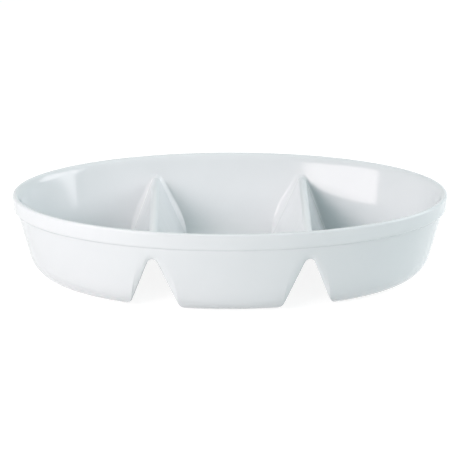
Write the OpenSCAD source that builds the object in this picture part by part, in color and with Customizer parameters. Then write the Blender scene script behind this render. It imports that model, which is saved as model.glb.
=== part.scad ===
// Oval serving bowl with three compartments: walled pans, folded hollow dividers, a raised rim band
// and unglazed foot rings. X runs along the bowl, Z is up and the table is at Z = 0.

/* [Bowl] */
// Length over the rim
bowl_l = 300; // [240:1:400]
// Width over the rim
bowl_w = 200; // [150:1:260]
// Height from the table to the rim
bowl_h = 59; // [50:0.5:72]
// Thickness of the walls and floors
wall_t = 4.2; // [3:0.1:6]
// Outward lean of the walls from upright, in degrees
wall_lean = 15; // [8:0.5:20]
// Outside radius of the corner between wall and floor
bottom_r = 20; // [12:0.5:26]

/* [Rim band] */
// Height of the raised band
band_h = 11.25; // [6:0.25:13]
// How far the band's lower edge stands out from the wall
band_out = 2.2; // [1.6:0.1:3.5]
// Outward lean of the band from upright, in degrees
band_lean = 4; // [0:0.5:8]
// Radius of the band's lower edge
band_r = 1.2; // [0.5:0.1:1.5]
// Radius of the rim's outer and inner top edges
rim_r = 1.6; // [0.8:0.1:2]

/* [Dividers] */
// Distance from the third points of the flat floor out to each divider's ridge
divider_x = 12.8; // [6:0.1:22]
// Distance from the rim down to a divider's ridge
ridge_drop = 14; // [13:0.5:26]
// Thickness of a divider's flanks
divider_t = 3.9; // [2:0.1:4.5]
// Lean from upright of the flanks that face the centre pan, in degrees
flank_in_lean = 24.5; // [18:0.5:28]
// Lean from upright of the flanks that face an end pan, in degrees
flank_out_lean = 20; // [15:0.5:26]
// Radius of a divider's ridge
ridge_r = 5.8; // [4.8:0.1:8]
// Radius of the crown inside the tunnel under a divider
crown_r = 3.6; // [3:0.1:6]
// Radius of the fillet between a divider and the floors beside it
toe_r = 3.5; // [2:0.1:6]
// Radius of the tunnel's lower edges
lip_r = 7.7; // [5:0.1:10]

/* [Feet] */
// Height of the foot rings
foot_h = 1.2; // [0.8:0.1:3]
// Width of the foot rings
foot_w = 5; // [3:0.1:8]
// Distance from the edge of a pan's flat underside to its foot ring
foot_inset = 3; // [1:0.1:6]

/* [Hidden] */
$fn = 128;

// Length by which a cutting shape runs past what it cuts
over = 2;
// Amount by which an arc crosses the straight that it blends into
lap = 0.01;
glaze = "#eef1f2";
bisque = "#d8d0c2";

// Levels of the floor's upper face, the band's lower face and the corner arcs' centres
floor_z = foot_h + wall_t;
band_z = bowl_h - band_h;
corner_z = foot_h + bottom_r;

// Arc centre of the rim's outer edge, with the widest point at half the length
rim_c = [bowl_l / 2 - rim_r, bowl_h - rim_r];
rim_low = rim_c + rim_r * [cos(band_lean), -sin(band_lean)];

// Half lengths: the band's lower edge, the wall below it, the inner wall at the rim and the flat floor
band_low_a = rim_low.x - (rim_low.y - band_z) * tan(band_lean);
wall_a = band_low_a - band_out;
rim_in_a = wall_a + band_h * tan(wall_lean) - wall_t / cos(wall_lean);
corner_top_z = corner_z - bottom_r * sin(wall_lean);
corner_top_a = wall_a - (band_z - corner_top_z) * tan(wall_lean);
floor_a = corner_top_a - bottom_r * cos(wall_lean);

// Width to length of the outer ovals, and of the inner ones that leave an even rim
outer_ratio = bowl_w / bowl_l;
rim_t = bowl_l / 2 - rim_in_a;
inner_ratio = (bowl_w / 2 - rim_t) / rim_in_a;

// Fold of the right divider: level of its ridge's arc centre, distance of the tunnel's flanks from that
// centre, and where the tunnel's crown has its own arc centre so that both flanks touch it
ridge_z = bowl_h - ridge_drop - ridge_r;
tunnel_flank = ridge_r - divider_t;
lean_sum = flank_in_lean + flank_out_lean;
crown_c = (tunnel_flank - crown_r) / sin(lean_sum) * [
    sin(flank_in_lean) - sin(flank_out_lean),
    cos(flank_in_lean) + cos(flank_out_lean)
];
// Reach from the ridge to the arc centre of a toe that blends a flank into a level
function toe_x(lean, flank, toe, toe_z) = (flank + toe + (ridge_z - toe_z) * sin(lean)) / cos(lean);
// Reach from the ridge to where the fold has run out into the floor, above and below
function fold_x(lean) = max(
    toe_x(lean, tunnel_flank, lip_r, foot_h + lip_r),
    toe_x(lean, ridge_r, toe_r, floor_z + toe_r)
);

// Distances from the bowl's middle to a divider's ridge and to where it meets the centre pan and an end
// pan, with the floor's length shared out in thirds so that a longer bowl lengthens all three pans
ridge_x = floor_a / 3 + divider_x;
pan_in_x = ridge_x - fold_x(flank_in_lean);
pan_out_x = ridge_x + fold_x(flank_out_lean);

// Slice of space between two X and two Z levels, wider than the bowl
module slice(x0, x1, z0, z1) {
    translate([x0, -bowl_w, z0])
        cube([x1 - x0, 2 * bowl_w, z1 - z0]);
}

// Half section turned about Z and squeezed across to an oval
module oval(ratio) {
    scale([1, ratio, 1])
        rotate_extrude()
            children();
}

// Half section of a wall that leans out from a rounded corner, filled to the axis
module wall_section(skin, top_z) {
    r = bottom_r - skin;
    top_a = wall_a + (top_z - band_z) * tan(wall_lean) - skin / cos(wall_lean);
    polygon([
        [0, foot_h + skin - over],
        [floor_a, foot_h + skin - over],
        [floor_a, corner_z],
        [floor_a + r * cos(wall_lean), corner_z - r * sin(wall_lean)],
        [top_a, top_z],
        [0, top_z]
    ]);
    translate([floor_a, corner_z])
        circle(r = r + lap);
}

// Half section of the band with its rounded lower and upper edges, filled to the axis
module band_section() {
    low = band_r * tan(45 - band_lean / 2);
    polygon([
        [0, band_z - over],
        [wall_a, band_z - over],
        [wall_a, band_z],
        [band_low_a - low, band_z],
        [band_low_a + low * sin(band_lean), band_z + low * cos(band_lean)],
        rim_low,
        rim_c,
        [rim_c.x, bowl_h + over],
        [0, bowl_h + over]
    ]);
    translate([band_low_a - low, band_z + band_r])
        circle(r = band_r + lap);
    translate(rim_c)
        circle(r = rim_r + lap);
}

// Half section of the hollow above the rim's inner edge, which the edge's round bites into
module mouth_section() {
    flare = rim_r * tan(45 - wall_lean / 2);
    difference() {
        polygon([
            [0, band_z - over],
            [rim_in_a - (band_h + over) * tan(wall_lean), band_z - over],
            [rim_in_a - flare * sin(wall_lean), bowl_h - flare * cos(wall_lean)],
            [rim_in_a + flare, bowl_h - rim_r],
            [rim_in_a + flare, bowl_h + over],
            [0, bowl_h + over]
        ]);
        translate([rim_in_a + flare, bowl_h - rim_r])
            circle(r = rim_r + lap);
    }
}

// Section across a fold with its flanks at a distance from the ridge's arc centre
module fold_section(flank, crown, crown_at, toe, toe_z) {
    out_x = toe_x(flank_out_lean, flank, toe, toe_z);
    in_x = -toe_x(flank_in_lean, flank, toe, toe_z);
    out_normal = [cos(flank_out_lean), sin(flank_out_lean)];
    in_normal = [-cos(flank_in_lean), sin(flank_in_lean)];
    difference() {
        union() {
            polygon([
                [in_x, foot_h - over],
                [out_x, foot_h - over],
                [out_x, toe_z],
                [out_x, toe_z] - toe * out_normal,
                crown_at + crown * out_normal,
                crown_at + crown * in_normal,
                [in_x, toe_z] - toe * in_normal,
                [in_x, toe_z]
            ]);
            translate(crown_at)
                circle(r = crown + lap);
        }
        for (x = [in_x, out_x])
            translate([x, toe_z])
                circle(r = toe + lap);
    }
}

// Section drawn out across the bowl along the right divider's ridge
module across() {
    translate([ridge_x, 0, 0])
        rotate([90, 0, 0])
            linear_extrude(height = 2 * bowl_w, center = true)
                children();
}

// Tunnel under the right divider
module tunnel() {
    across()
        fold_section(tunnel_flank, crown_r, [0, ridge_z] + crown_c, lip_r, foot_h + lip_r);
}

// Everything under the right divider's upper face
module roof() {
    across()
        fold_section(ridge_r, ridge_r, [0, ridge_z], toe_r, floor_z + toe_r);
}

// Hollow of the whole bowl between two X levels, above the floor and below the band
module hollow(x0, x1) {
    intersection() {
        oval(inner_ratio)
            wall_section(wall_t, band_z + over);
        slice(x0, x1, floor_z, band_z + over);
    }
}

// Outside of the whole bowl between two X levels, above the foot rings and below the band
module outside(x0, x1) {
    intersection() {
        oval(outer_ratio)
            wall_section(0, band_z + over);
        slice(x0, x1, foot_h, band_z);
    }
}

// Walled pan between two X levels
module pan(x0, x1) {
    difference() {
        outside(x0, x1);
        hollow(x0 - over, x1 + over);
    }
}

// Right divider's fold with the wall panels that close its two ends
module divider() {
    difference() {
        outside(pan_in_x, pan_out_x);
        tunnel();
        difference() {
            hollow(pan_in_x - over, pan_out_x + over);
            roof();
        }
    }
}

// Plate under a pan between two X levels, drawn in from its flat underside and run past its two faces
module plate(x0, x1, inset, past) {
    a = floor_a - inset;
    b = floor_a * outer_ratio - inset;
    intersection() {
        translate([0, 0, -over])
            scale([1, b / a, 1])
                cylinder(r = a, h = foot_h + 2 * over);
        slice(x0 + inset, x1 - inset, -past, foot_h + past);
    }
}

// Foot ring under a pan between two X levels
module foot(x0, x1) {
    difference() {
        plate(x0, x1, foot_inset, 0);
        plate(x0, x1, foot_inset + foot_w, over / 2);
    }
}

module rim_band() {
    color(glaze)
        difference() {
            intersection() {
                oval(outer_ratio)
                    band_section();
                slice(-bowl_l, bowl_l, band_z, bowl_h);
            }
            oval(inner_ratio)
                mouth_section();
        }
}

module left_pan() {
    color(glaze)
        pan(-bowl_l, -pan_out_x);
}

module centre_pan() {
    color(glaze)
        pan(-pan_in_x, pan_in_x);
}

module right_pan() {
    color(glaze)
        pan(pan_out_x, bowl_l);
}

module left_divider() {
    color(glaze)
        mirror([1, 0, 0])
            divider();
}

module right_divider() {
    color(glaze)
        divider();
}

module left_foot() {
    color(bisque)
        foot(-bowl_l, -pan_out_x);
}

module centre_foot() {
    color(bisque)
        foot(-pan_in_x, pan_in_x);
}

module right_foot() {
    color(bisque)
        foot(pan_out_x, bowl_l);
}

rim_band();
left_pan();
centre_pan();
right_pan();
left_divider();
right_divider();
left_foot();
centre_foot();
right_foot();
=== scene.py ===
# Oval serving bowl with three compartments: glazed porcelain sections on unglazed foot rings, in metres.
from math import cos, pi, radians, sin, sqrt, tan

import bmesh
import bpy
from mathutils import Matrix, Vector


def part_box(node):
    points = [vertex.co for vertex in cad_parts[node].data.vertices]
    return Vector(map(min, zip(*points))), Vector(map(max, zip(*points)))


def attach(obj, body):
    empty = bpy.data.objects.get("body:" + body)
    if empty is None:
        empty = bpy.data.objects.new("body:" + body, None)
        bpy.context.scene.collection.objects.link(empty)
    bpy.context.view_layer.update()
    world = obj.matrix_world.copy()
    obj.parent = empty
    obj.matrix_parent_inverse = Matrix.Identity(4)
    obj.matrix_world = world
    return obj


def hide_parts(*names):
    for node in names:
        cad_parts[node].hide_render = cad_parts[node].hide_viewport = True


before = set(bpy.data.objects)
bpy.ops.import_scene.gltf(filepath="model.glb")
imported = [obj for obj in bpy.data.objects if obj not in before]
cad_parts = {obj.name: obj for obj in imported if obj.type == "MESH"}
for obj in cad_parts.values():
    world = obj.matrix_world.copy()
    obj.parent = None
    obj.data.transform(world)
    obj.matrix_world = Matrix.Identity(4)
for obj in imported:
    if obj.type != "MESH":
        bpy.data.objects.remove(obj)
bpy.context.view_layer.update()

MM = 0.001
TINY = 0.002 * MM

# Sizes that the frame gives
rim_low, rim_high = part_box("rim_band")
bowl_l = 2 * rim_high.x
bowl_w = 2 * rim_high.y
bowl_h = rim_high.z
band_z = rim_low.z
pan_in_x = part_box("centre_pan")[1].x
pan_out_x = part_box("right_divider")[1].x
foot_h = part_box("centre_pan")[0].z

# Walls: thickness, lean from upright and outside radius of the bottom corner
wall_t = 4.2 * MM
wall_lean = radians(15)
bottom_r = 20 * MM

# Inside of the long sides, where the wall thickens downwards: its own lean and corner radius
side_lean = radians(19.5)
side_r = 13 * MM

# Rim band: how far it stands out, its lean, and how far its soft step turns from upright
band_out = 2.2 * MM
band_lean = radians(4)
step_turn = radians(70)

# Top of the rim: radius of its outer edge, and how far its round reaches down the inner wall
rim_r = 1.6 * MM
rim_in_drop = 5 * MM

# Dividers: drop of the ridge below the rim, its radius, the leans of the flanks and the fillet on the floor
ridge_drop = 14 * MM
ridge_r = 3.2 * MM
roof_in_lean = radians(26.5)
roof_out_lean = radians(22.2)
toe_r = 3.5 * MM

# Tunnels: outside bend and thickness of the sheet above, leans of the flanks, crown and lower edges
bend_r = 5.8 * MM
divider_t = 3.9 * MM
tunnel_in_lean = radians(24.5)
tunnel_out_lean = radians(20)
crown_r = 3.6 * MM
lip_r = 7.7 * MM

# Tunnel mouths: radius of the edge on the wall, its share into the tunnel and the height that eases it in
mouth_edge = 6.5 * MM
mouth_depth_share = 0.35
mouth_ease = 15 * MM

# Roundings: weight that makes a right-angled one circular, and margin by which each runs on inwards
full_round = sqrt(0.5)
edge_margin = 0.3 * MM

# Creases at the dividers' ends: radius at the ridge, and at the floor facing the centre pan and an end pan
crease_ridge = 2 * MM
LEFT_CREASES = {"in": 4.5 * MM, "in_weight": 0.3, "out": 5.5 * MM, "out_weight": full_round}
RIGHT_CREASES = {"in": 6.5 * MM, "in_weight": full_round, "out": 1.5 * MM, "out_weight": full_round}

# Feet: width of the rings, distance from the edge of the flat undersides and wear of the standing edge
foot_w = 5 * MM
foot_inset = 3 * MM
foot_wear = 0.35 * MM

# How finely ovals, wall heights, bends, folds, the centre pan and worn edges are divided
ring_steps = 256
wall_steps = 20
bend_steps = 8
fold_steps = 70
middle_steps = 48
wear_steps = 3

# Strip and turn beside a seam that hold its normals, and the turn from which a foot's edge is sharp
seam_strip = 0.05 * MM
seam_turn = radians(0.3)
sharp_turn = radians(45)

# Where an end pan's turned floor starts, as a share of the distance at which it is then cut off
hub_share = 0.9

# Level of the floor, level of the bottom corner's arc centres, and radius of the inner arc
floor_z = foot_h + wall_t
corner_z = foot_h + bottom_r
inner_corner_r = bottom_r - wall_t

# Half lengths: the band's lower edge, the wall below it, the inner wall at the rim and the flat floor
rim_c = Vector((bowl_l / 2 - rim_r, bowl_h - rim_r))
band_low_a = rim_c.x + rim_r / cos(band_lean) - (rim_c.y - band_z) * tan(band_lean)
wall_a = band_low_a - band_out
rim_in_a = wall_a + (bowl_h - band_z) * tan(wall_lean) - wall_t / cos(wall_lean)
corner_top_z = corner_z - bottom_r * sin(wall_lean)
floor_a = wall_a - (band_z - corner_top_z) * tan(wall_lean) - bottom_r * cos(wall_lean)

# Half widths inside the long sides: at an evenly thick rim, and of the flat floor
rim_in_b = bowl_w / 2 - (bowl_l / 2 - rim_in_a)
side_corner_z = floor_z + side_r * (1 - sin(side_lean))
floor_b = rim_in_b - (bowl_h - side_corner_z) * tan(side_lean) - side_r * cos(side_lean)

# The band's soft step: equal hollow and round arcs that meet on the seam, turned out by step_turn
step_rise = sin(step_turn) - sin(wall_lean)
step_fall = sin(step_turn) - sin(band_lean)
step_reach = cos(wall_lean) + cos(band_lean) - 2 * cos(step_turn)
step_r = band_out / (step_reach - tan(wall_lean) * step_rise - tan(band_lean) * step_fall)
flare_z = band_z - step_r * step_rise
flare_a = wall_a - (band_z - flare_z) * tan(wall_lean)
flare_c = Vector((flare_a + step_r * cos(wall_lean), flare_z - step_r * sin(wall_lean)))
seam_a = flare_c.x - step_r * cos(step_turn)
step_c = Vector((seam_a - step_r * cos(step_turn), band_z + step_r * sin(step_turn)))

# Folds: arc centres of the ridge and of the sheet's bend, and the tunnel's flanks and crown below them
ridge_z = bowl_h - ridge_drop - ridge_r
bend_z = bowl_h - ridge_drop - bend_r
tunnel_flank = bend_r - divider_t
crown_lift = (tunnel_flank - crown_r) / sin(tunnel_in_lean + tunnel_out_lean)
crown_c = Vector((
    crown_lift * (sin(tunnel_in_lean) - sin(tunnel_out_lean)),
    bend_z + crown_lift * (cos(tunnel_in_lean) + cos(tunnel_out_lean)),
))
ROOF = {
    "crown": Vector((0, ridge_z)), "crown_r": ridge_r, "in_lean": roof_in_lean, "out_lean": roof_out_lean,
    "middle_z": ridge_z, "flank": ridge_r, "toe_r": toe_r, "level": floor_z,
}
TUNNEL = {
    "crown": crown_c, "crown_r": crown_r, "in_lean": tunnel_in_lean, "out_lean": tunnel_out_lean,
    "middle_z": bend_z, "flank": tunnel_flank, "toe_r": lip_r, "level": foot_h,
}


def toe_reach(fold, lean):
    """Distance from the ridge to the arc centre of the toe that blends a fold's flank into its level."""
    drop = fold["middle_z"] - fold["level"] - fold["toe_r"]
    return (fold["flank"] + fold["toe_r"] + drop * sin(lean)) / cos(lean)


# Distance from the bowl's middle to the right divider's ridge
ridge_x = pan_out_x - toe_reach(TUNNEL, tunnel_out_lean)


def fold_height(fold, dx, grow=0.0):
    """Height of a fold's face, or of a curve parallel to it, at a distance from the ridge."""
    crown = fold["crown"]
    lean = fold["out_lean"] if dx > crown.x else fold["in_lean"]
    round_r = fold["crown_r"] + grow
    if abs(dx - crown.x) < round_r * cos(lean):
        return crown.y + sqrt(round_r ** 2 - (dx - crown.x) ** 2)
    toe_x = toe_reach(fold, lean)
    hollow_r = fold["toe_r"] - grow
    if abs(dx) < toe_x - hollow_r * cos(lean):
        return fold["middle_z"] + (fold["flank"] + grow - abs(dx) * cos(lean)) / sin(lean)
    return fold["level"] + fold["toe_r"] - sqrt(hollow_r ** 2 - max(toe_x - abs(dx), 0) ** 2)


def fold_stations():
    """Distances from the bowl's middle at which the right divider is sectioned."""
    low = pan_in_x - ridge_x
    high = pan_out_x - ridge_x
    dxs = [low + (high - low) * step / fold_steps for step in range(fold_steps)]
    for fold in (ROOF, TUNNEL):
        for side, lean in ((-1, fold["in_lean"]), (1, fold["out_lean"])):
            toe_x = toe_reach(fold, lean)
            for step in range(bend_steps + 1):
                angle = (pi / 2 - lean) * step / bend_steps
                dxs.append(fold["crown"].x + side * fold["crown_r"] * sin(angle))
                dxs.append(side * (toe_x - fold["toe_r"] * sin(angle)))
    clear_of_seam = 3 * seam_strip
    kept = [low, low + seam_strip]
    for dx in sorted(dxs):
        if low + clear_of_seam < dx < high - clear_of_seam and dx - kept[-1] > seam_strip:
            kept.append(dx)
    return [ridge_x + dx for dx in kept + [high - seam_strip, high]]


def middle_stations():
    """Distances from the bowl's middle at which the centre pan is sectioned."""
    inner = [pan_in_x * (2 * step / middle_steps - 1) for step in range(1, middle_steps)]
    return [-pan_in_x, seam_strip - pan_in_x, *inner, pan_in_x - seam_strip, pan_in_x]


def outer_a(z):
    """Half length of the outer face at a height below the band."""
    if z > flare_z:
        return flare_c.x - sqrt(max(step_r ** 2 - (z - flare_c.y) ** 2, 0))
    if z > corner_top_z:
        return wall_a - (band_z - z) * tan(wall_lean)
    return floor_a + sqrt(max(bottom_r ** 2 - (corner_z - z) ** 2, 0))


def inner_a(z):
    """Half length of the inner face at a height."""
    if z > corner_z - inner_corner_r * sin(wall_lean):
        return wall_a - (band_z - z) * tan(wall_lean) - wall_t / cos(wall_lean)
    return floor_a + sqrt(max(inner_corner_r ** 2 - (corner_z - z) ** 2, 0))


def outer_ratio(z):
    """Width to length of the outer oval, the same at every height."""
    return bowl_w / bowl_l


def inner_ratio(z):
    """Width to length of the inner oval at a height."""
    if z > side_corner_z:
        return (rim_in_b - (bowl_h - z) * tan(side_lean)) / inner_a(z)
    return (floor_b + sqrt(max(side_r ** 2 - (floor_z + side_r - z) ** 2, 0))) / inner_a(z)


def outer_heights(low):
    """Heights up the outer face from a level to the seam, close together in the corner and the flare."""
    rows = [low + (flare_z - low) * (step / wall_steps) ** 2 for step in range(wall_steps + 1)]
    angles = [wall_lean + (step_turn - wall_lean) * step / bend_steps for step in range(1, bend_steps)]
    angles.append(step_turn - seam_turn)
    return rows + [flare_c.y + step_r * sin(angle) for angle in angles] + [band_z]


def inner_heights(low):
    """Heights down the inner face from the seam to a level, close together in the corner."""
    return [low + (band_z - low) * (step / wall_steps) ** 2 for step in range(wall_steps, -1, -1)]


def steepness(z):
    """0 where the inner wall runs level into the floor, and nearly 1 above its corner."""
    return sqrt(1 - min(max((corner_z - z) / inner_corner_r, sin(wall_lean)), 1) ** 2)


def rounded(start, corner, end, weight=full_round):
    """Points of a quarter round that runs from start to end and is drawn towards a corner by a weight."""
    points = []
    for step in range(bend_steps + 1):
        t = step / bend_steps
        parts = ((1 - t) ** 2, 2 * weight * t * (1 - t), t ** 2)
        total = parts[0] * start + parts[1] * corner + parts[2] * end
        points.append(total / sum(parts))
    return points


def wall_point(x, z, half_length, ratio):
    """Point (y, z) of a wall's face in the section at x."""
    return Vector((ratio(z) * sqrt(half_length(z) ** 2 - x ** 2), z))


def half_ring(x, under, mouth, over, crease, crease_weight):
    """Half section at x: along the underside, round the mouth's edge, up the wall and back to the floor."""
    low, high = under(0), over(0)
    foot = wall_point(x, low, outer_a, outer_ratio)
    root = wall_point(x, high, inner_a, inner_ratio)
    mouth_top = under(mouth)
    crease_top = over(crease)
    mouth_start = foot - Vector((mouth_depth_share * mouth + edge_margin, 0))
    crease_end = root - Vector((crease + edge_margin, 0))
    ring = [Vector((0, low))]
    ring += rounded(mouth_start, foot, wall_point(x, mouth_top, outer_a, outer_ratio))
    ring += [wall_point(x, z, outer_a, outer_ratio) for z in outer_heights(mouth_top)[1:]]
    ring += [wall_point(x, z, inner_a, inner_ratio) for z in inner_heights(crease_top)]
    ring += rounded(crease_end, root, ring[-1], crease_weight)[-2::-1]
    return ring + [Vector((0, high))]


def crease_at(dx, floor_crease):
    """Radius of the crease at a distance from the ridge: wider lower down, and run out at the floor."""
    high = fold_height(ROOF, dx)
    depth = (bowl_h - ridge_drop - high) / (bowl_h - ridge_drop - floor_z)
    return steepness(high) * (crease_ridge + (floor_crease - crease_ridge) * depth)


def mouth_at(dx):
    """Radius of the mouth's edge at a distance from the ridge: eased in above the tunnel's foot."""
    rise = min((fold_height(TUNNEL, dx) - foot_h) / mouth_ease, 1)
    return mouth_edge * rise * rise * (3 - 2 * rise)


def divider_ring(x, creases):
    """Half section through the right divider's fold."""
    dx = x - ridge_x
    side = "in" if dx < 0 else "out"
    return half_ring(
        x,
        lambda grow: fold_height(TUNNEL, dx, grow),
        mouth_at(dx),
        lambda grow: fold_height(ROOF, dx, grow),
        crease_at(dx, creases[side]),
        creases[side + "_weight"],
    )


def centre_ring(x):
    """Half section through the flat-floored centre pan."""
    return half_ring(x, lambda grow: foot_h, 0, lambda grow: floor_z, 0, full_round)


def seal(bm):
    """Closes the open ends of a section, turns its faces outwards and keeps the joint faces' edges crisp."""
    ends = bmesh.ops.holes_fill(bm, edges=[edge for edge in bm.edges if edge.is_boundary])["faces"]
    bmesh.ops.recalc_face_normals(bm, faces=bm.faces)
    joints = [face for face in bm.faces if all(abs(vert.co.z - band_z) < TINY for vert in face.verts)]
    for face in bm.faces:
        face.smooth = True
    for face in ends + joints:
        for edge in face.edges:
            edge.smooth = False


def panel(stations, ring_at):
    """Section lofted through half rings and mirrored across the bowl."""
    rings = [[(x, point.x, point.y) for point in ring_at(x)] for x in stations]
    count = len(rings[0])
    bm = bmesh.new()
    bmesh.ops.create_grid(bm, x_segments=count - 1, y_segments=len(rings) - 1, size=1)
    bm.verts.ensure_lookup_table()
    for row, ring in enumerate(rings):
        for column, point in enumerate(ring):
            bm.verts[row * count + column].co = point
    whole = bm.verts[:] + bm.edges[:] + bm.faces[:]
    bmesh.ops.mirror(bm, geom=whole, axis="Y", merge_dist=TINY)
    seal(bm)
    return bm


def centre_pan():
    """Flat-floored middle section with its two wall panels."""
    return panel(middle_stations(), centre_ring)


def divider(creases):
    """Right divider's fold with the wall panels that close its two ends."""
    return panel(fold_stations(), lambda x: divider_ring(x, creases))


def spin_oval(bm, profile, ratio):
    """Spins a profile of half lengths and heights about Z and squeezes each height across to its oval."""
    old = set(bm.verts)
    verts = [bm.verts.new((a, 0, z)) for a, z in profile]
    edges = [bm.edges.new(pair) for pair in zip(verts, verts[1:])]
    bmesh.ops.spin(bm, geom=verts + edges, cent=(0, 0, 0), axis=(0, 0, 1), angle=2 * pi, steps=ring_steps,
                   use_merge=True)
    for vert in set(bm.verts) - old:
        vert.co.y *= ratio(vert.co.z)


def bridge(bm, z):
    """Joins the two open loops at a level."""
    open_edges = [edge for edge in bm.edges if edge.is_boundary]
    loops = [edge for edge in open_edges if all(abs(vert.co.z - z) < TINY for vert in edge.verts)]
    bmesh.ops.bridge_loops(bm, edges=loops)


def end_pan():
    """Right end pan: the turned bowl cut off where the divider begins."""
    hub = hub_share * pan_out_x
    bm = bmesh.new()
    spin_oval(bm, [(hub, foot_h)] + [(outer_a(z), z) for z in outer_heights(foot_h)], outer_ratio)
    spin_oval(bm, [(inner_a(z), z) for z in inner_heights(floor_z)] + [(hub, floor_z)], inner_ratio)
    bridge(bm, band_z)
    whole = bm.verts[:] + bm.edges[:] + bm.faces[:]
    bmesh.ops.bisect_plane(bm, geom=whole, dist=TINY, plane_co=(pan_out_x, 0, 0), plane_no=(1, 0, 0),
                           clear_inner=True)
    seal(bm)
    return bm


def rim_band():
    """Raised band with its soft lower step, round outer edge and wider round into the bowl."""
    angles = [step_turn, step_turn - seam_turn]
    angles += [step_turn + (band_lean - step_turn) * step / bend_steps for step in range(1, bend_steps + 1)]
    outer = [step_c + step_r * Vector((cos(angle), -sin(angle))) for angle in angles]
    for step in range(bend_steps + 1):
        angle = -band_lean + (pi / 2 + band_lean) * step / bend_steps
        outer.append(rim_c + rim_r * Vector((cos(angle), sin(angle))))
    round_low = Vector((inner_a(bowl_h - rim_in_drop), bowl_h - rim_in_drop))
    inner = rounded(Vector((rim_c.x, bowl_h)), Vector((rim_in_a, bowl_h)), round_low)
    inner.append(Vector((inner_a(band_z), band_z)))
    bm = bmesh.new()
    spin_oval(bm, outer, outer_ratio)
    spin_oval(bm, inner, inner_ratio)
    bridge(bm, bowl_h)
    bridge(bm, band_z)
    seal(bm)
    return bm


def foot_ring(node):
    """Ring under a pan's flat underside, with its standing edges worn round."""
    low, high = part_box(node)
    a = floor_a - foot_inset
    b = floor_a * outer_ratio(foot_h) - foot_inset
    bm = bmesh.new()
    bmesh.ops.create_circle(bm, cap_ends=True, segments=ring_steps, radius=1)
    bmesh.ops.scale(bm, vec=(a, b, 1), verts=bm.verts)
    for x, side in ((low.x, -1), (high.x, 1)):
        whole = bm.verts[:] + bm.edges[:] + bm.faces[:]
        bmesh.ops.bisect_plane(bm, geom=whole, dist=TINY, plane_co=(x, 0, 0), plane_no=(side, 0, 0),
                               clear_outer=True)
    middle = bm.faces[:]
    bmesh.ops.inset_region(bm, faces=middle, thickness=foot_w, use_even_offset=True, use_boundary=True)
    bmesh.ops.delete(bm, geom=middle, context="FACES_ONLY")
    extruded = bmesh.ops.extrude_face_region(bm, geom=bm.faces[:], use_keep_orig=True)["geom"]
    upper = [part for part in extruded if isinstance(part, bmesh.types.BMVert)]
    bmesh.ops.translate(bm, vec=(0, 0, foot_h), verts=upper)
    bmesh.ops.recalc_face_normals(bm, faces=bm.faces)
    standing = [edge for edge in bm.edges if all(v.co.z < TINY for v in edge.verts)
                and edge.calc_face_angle(0) > sharp_turn]
    bmesh.ops.bevel(bm, geom=standing, offset=foot_wear, affect="EDGES", segments=wear_steps, profile=0.5,
                    material=-1)
    for face in bm.faces:
        face.smooth = True
    for edge in bm.edges:
        edge.smooth = edge.calc_face_angle(0) < sharp_turn
    return bm


def mirrored(bm):
    """The same section on the bowl's left."""
    bmesh.ops.scale(bm, vec=(-1, 1, 1), verts=bm.verts)
    bmesh.ops.reverse_faces(bm, faces=bm.faces)
    return bm


def add_node(tree, kind, **inputs):
    """Adds a shader node and sets or links its inputs by name."""
    node = tree.nodes.new("ShaderNode" + kind)
    for name, value in inputs.items():
        socket = node.inputs[name.replace("_", " ")]
        if isinstance(value, bpy.types.NodeSocket):
            tree.links.new(value, socket)
        else:
            socket.default_value = value
    return node


def mix_colours(tree, factor, low, high):
    """Colour between two, by a factor from another node."""
    # Places of a Mix node's colour sockets, which share their names with its other sockets
    low_place, high_place, result_place = 6, 7, 2
    mix = tree.nodes.new("ShaderNodeMix")
    mix.data_type = "RGBA"
    tree.links.new(factor, mix.inputs["Factor"])
    mix.inputs[low_place].default_value = (*low, 1)
    mix.inputs[high_place].default_value = (*high, 1)
    return mix.outputs[result_place]


def new_material(name):
    """Empty node material with its tree and output."""
    material = bpy.data.materials.new(name)
    material.use_nodes = True
    tree = material.node_tree
    tree.nodes.clear()
    return material, tree, tree.nodes.new("ShaderNodeOutputMaterial")


def object_place(tree):
    """Coordinates that a material's patterns read."""
    return tree.nodes.new("ShaderNodeTexCoord").outputs["Object"]


def porcelain_glaze():
    """White porcelain under a clear gloss glaze that varies faintly in tone and lies not quite flat."""
    material, tree, output = new_material("porcelain_glaze")
    place = object_place(tree)
    tone = add_node(tree, "TexNoise", Vector=place, Scale=22.0, Detail=3.0, Roughness=0.5)
    colour = mix_colours(tree, tone.outputs["Fac"], (0.735, 0.755, 0.77), (0.77, 0.79, 0.805))
    sheen = add_node(tree, "TexNoise", Vector=place, Scale=55.0, Detail=2.0)
    gloss = add_node(tree, "MapRange", Value=sheen.outputs["Fac"], To_Min=0.07, To_Max=0.15)
    ripple = add_node(tree, "TexNoise", Vector=place, Scale=70.0, Detail=2.0, Roughness=0.4)
    peel = add_node(tree, "TexNoise", Vector=place, Scale=420.0, Detail=1.0)
    waves = add_node(tree, "Bump", Strength=0.12, Distance=0.0008, Height=ripple.outputs["Fac"])
    skin = add_node(tree, "Bump", Strength=0.03, Distance=0.0002, Height=peel.outputs["Fac"],
                    Normal=waves.outputs["Normal"])
    shader = add_node(tree, "BsdfPrincipled", Base_Color=colour, Roughness=gloss.outputs["Result"],
                      Normal=skin.outputs["Normal"], IOR=1.5)
    tree.links.new(shader.outputs["BSDF"], output.inputs["Surface"])
    return material


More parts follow.
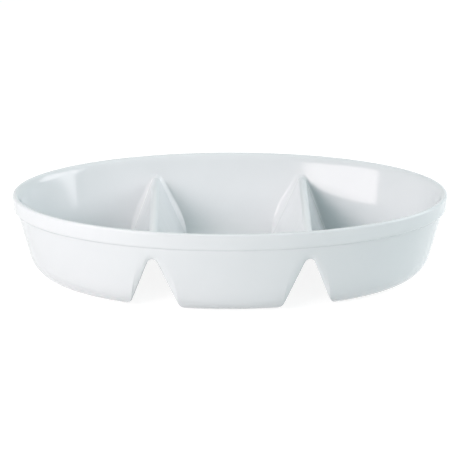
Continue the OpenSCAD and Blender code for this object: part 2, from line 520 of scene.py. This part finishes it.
def bare_bisque():
    """Dry ground bisque: warm, matt and speckled."""
    material, tree, output = new_material("bare_bisque")
    place = object_place(tree)
    speck = add_node(tree, "TexNoise", Vector=place, Scale=1400.0, Detail=4.0, Roughness=0.7)
    colour = mix_colours(tree, speck.outputs["Fac"], (0.52, 0.47, 0.39), (0.80, 0.75, 0.66))
    grain = add_node(tree, "TexNoise", Vector=place, Scale=2600.0, Detail=3.0)
    bump = add_node(tree, "Bump", Strength=0.4, Distance=0.0002, Height=grain.outputs["Fac"])
    shader = add_node(tree, "BsdfPrincipled", Base_Color=colour, Roughness=0.85,
                      Normal=bump.outputs["Normal"])
    tree.links.new(shader.outputs["BSDF"], output.inputs["Surface"])
    return material


def add_object(bm, name, material):
    """Makes a mesh object of a finished mesh and puts it in the scene."""
    mesh = bpy.data.meshes.new(name)
    bm.to_mesh(mesh)
    bm.free()
    mesh.materials.append(material)
    added = bpy.data.objects.new(name, mesh)
    bpy.context.scene.collection.objects.link(added)
    return added


def add_piece(bm, node, material):
    """Adds a finished section and lets it stand for its frame node."""
    piece = add_object(bm, f"{node}_piece", material)
    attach(piece, "root")
    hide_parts(node)


def seen_directly(tree):
    """1 for camera, glossy and transmission rays, and 0 for the rays that light the bowl."""
    path = tree.nodes.new("ShaderNodeLightPath")
    seen = path.outputs["Is Camera Ray"]
    for other in ("Is Glossy Ray", "Is Transmission Ray"):
        either = tree.nodes.new("ShaderNodeMath")
        either.operation = "MAXIMUM"
        tree.links.new(seen, either.inputs[0])
        tree.links.new(path.outputs[other], either.inputs[1])
        seen = either.outputs[0]
    return seen


def mix_shaders(tree, factor, low, high, output):
    """Sends one of two shaders, or a mix of both, to an output."""
    mix = tree.nodes.new("ShaderNodeMixShader")
    for source, socket in zip((factor, low.outputs[0], high.outputs[0]), mix.inputs):
        tree.links.new(source, socket)
    tree.links.new(mix.outputs[0], output.inputs["Surface"])


def pale_floor(half_size):
    """Plain white floor that glows white to the camera and keeps a light shadow of the bowl."""
    material, tree, output = new_material("pale_floor")
    shade = add_node(tree, "BsdfDiffuse", Color=(0.86, 0.87, 0.87, 1))
    glow = add_node(tree, "Emission", Color=(1, 1, 1, 1), Strength=0.89)
    dimmed = add_node(tree, "BsdfDiffuse", Color=(0.25, 0.25, 0.25, 1))
    shown = tree.nodes.new("ShaderNodeAddShader")
    tree.links.new(dimmed.outputs[0], shown.inputs[0])
    tree.links.new(glow.outputs[0], shown.inputs[1])
    mix_shaders(tree, seen_directly(tree), shade, shown, output)
    bm = bmesh.new()
    bmesh.ops.create_grid(bm, x_segments=1, y_segments=1, size=half_size)
    floor = add_object(bm, "floor", material)


def studio_world(fill, strength):
    """Cool, weak fill from all round, and white where the camera or a reflection sees past the floor."""
    world = bpy.data.worlds.new("studio")
    bpy.context.scene.world = world
    world.use_nodes = True
    tree = world.node_tree
    tree.nodes.clear()
    output = tree.nodes.new("ShaderNodeOutputWorld")
    dim = add_node(tree, "Background", Color=(*fill, 1), Strength=strength)
    white = add_node(tree, "Background", Color=(1, 1, 1, 1), Strength=1.0)
    mix_shaders(tree, seen_directly(tree), dim, white, output)


def direction(azimuth, elevation):
    """Unit vector away from the bowl; azimuth counts from the front towards the bowl's left."""
    return Vector((-sin(azimuth) * cos(elevation), -cos(azimuth) * cos(elevation), sin(elevation)))


def set_up(holder, target, out, distance):
    """Sets up a lamp or camera at a distance from a target, aimed back at it."""
    holder.location = target + distance * out
    holder.rotation_euler = (-out).to_track_quat("-Z", "Y").to_euler()
    bpy.context.scene.collection.objects.link(holder)


def soft_box(name, azimuth, elevation, width, height, radiance, colour, mirrored_in_glaze=False):
    """Rectangular lamp aimed at the bowl, from an azimuth and an elevation in degrees."""
    lamp = bpy.data.lights.new(name, "AREA")
    lamp.shape = "RECTANGLE"
    lamp.size = width
    lamp.size_y = height
    lamp.energy = radiance * pi * width * height
    lamp.color = colour
    holder = bpy.data.objects.new(name, lamp)
    holder.visible_glossy = mirrored_in_glaze
    out = direction(radians(azimuth), radians(elevation))
    set_up(holder, Vector((0, 0, bowl_h / 2)), out, lamp_distance)


# Pieces
glaze = porcelain_glaze()
bisque = bare_bisque()
add_piece(rim_band(), "rim_band", glaze)
add_piece(centre_pan(), "centre_pan", glaze)
add_piece(mirrored(end_pan()), "left_pan", glaze)
add_piece(end_pan(), "right_pan", glaze)
add_piece(mirrored(divider(LEFT_CREASES)), "left_divider", glaze)
add_piece(divider(RIGHT_CREASES), "right_divider", glaze)
for foot in ("left_foot", "centre_foot", "right_foot"):
    add_piece(foot_ring(foot), foot, bisque)

# Surroundings: half size of the floor, and tint and strength of the fill from all round
floor_half = 4.0
world_fill = (0.45, 1.0, 0.98)
world_strength = 0.21
pale_floor(floor_half)
studio_world(world_fill, world_strength)

# Lamps: a warm key that the back wall mirrors, a small one that draws the shadows, and fills on both sides
lamp_distance = 1.3
key_white = (1.0, 0.885, 0.89)
fill_white = (1.0, 0.955, 0.975)
soft_box("key", azimuth=48, elevation=19, width=0.9, height=0.5, radiance=4.4, colour=key_white,
         mirrored_in_glaze=True)
soft_box("key_front", azimuth=30, elevation=24, width=0.35, height=0.35, radiance=13.9, colour=key_white)
soft_box("left_high", azimuth=86, elevation=47, width=0.7, height=0.5, radiance=3.9, colour=key_white)
soft_box("right", azimuth=-92, elevation=25, width=0.9, height=0.6, radiance=4.0, colour=fill_white,
         mirrored_in_glaze=True)
soft_box("right_high", azimuth=-90, elevation=45, width=0.7, height=1.0, radiance=1.7, colour=fill_white)
soft_box("back_right", azimuth=-140, elevation=35, width=0.7, height=0.8, radiance=1.1, colour=fill_white)

# Camera: a long lens from the front, a little to the left of the middle, aimed at the bowl's middle
view_distance = 2.0
view_turn = radians(0.5)
view_drop = radians(17.38)
aim_z = 31.3 * MM
camera = bpy.data.objects.new("camera", bpy.data.cameras.new("camera"))
camera.data.lens = 225.5
camera.data.sensor_width = 36
set_up(camera, Vector((0, 0, aim_z)), direction(view_turn, view_drop), view_distance)
bpy.context.scene.camera = camera
bpy.context.scene.view_settings.view_transform = "Standard"
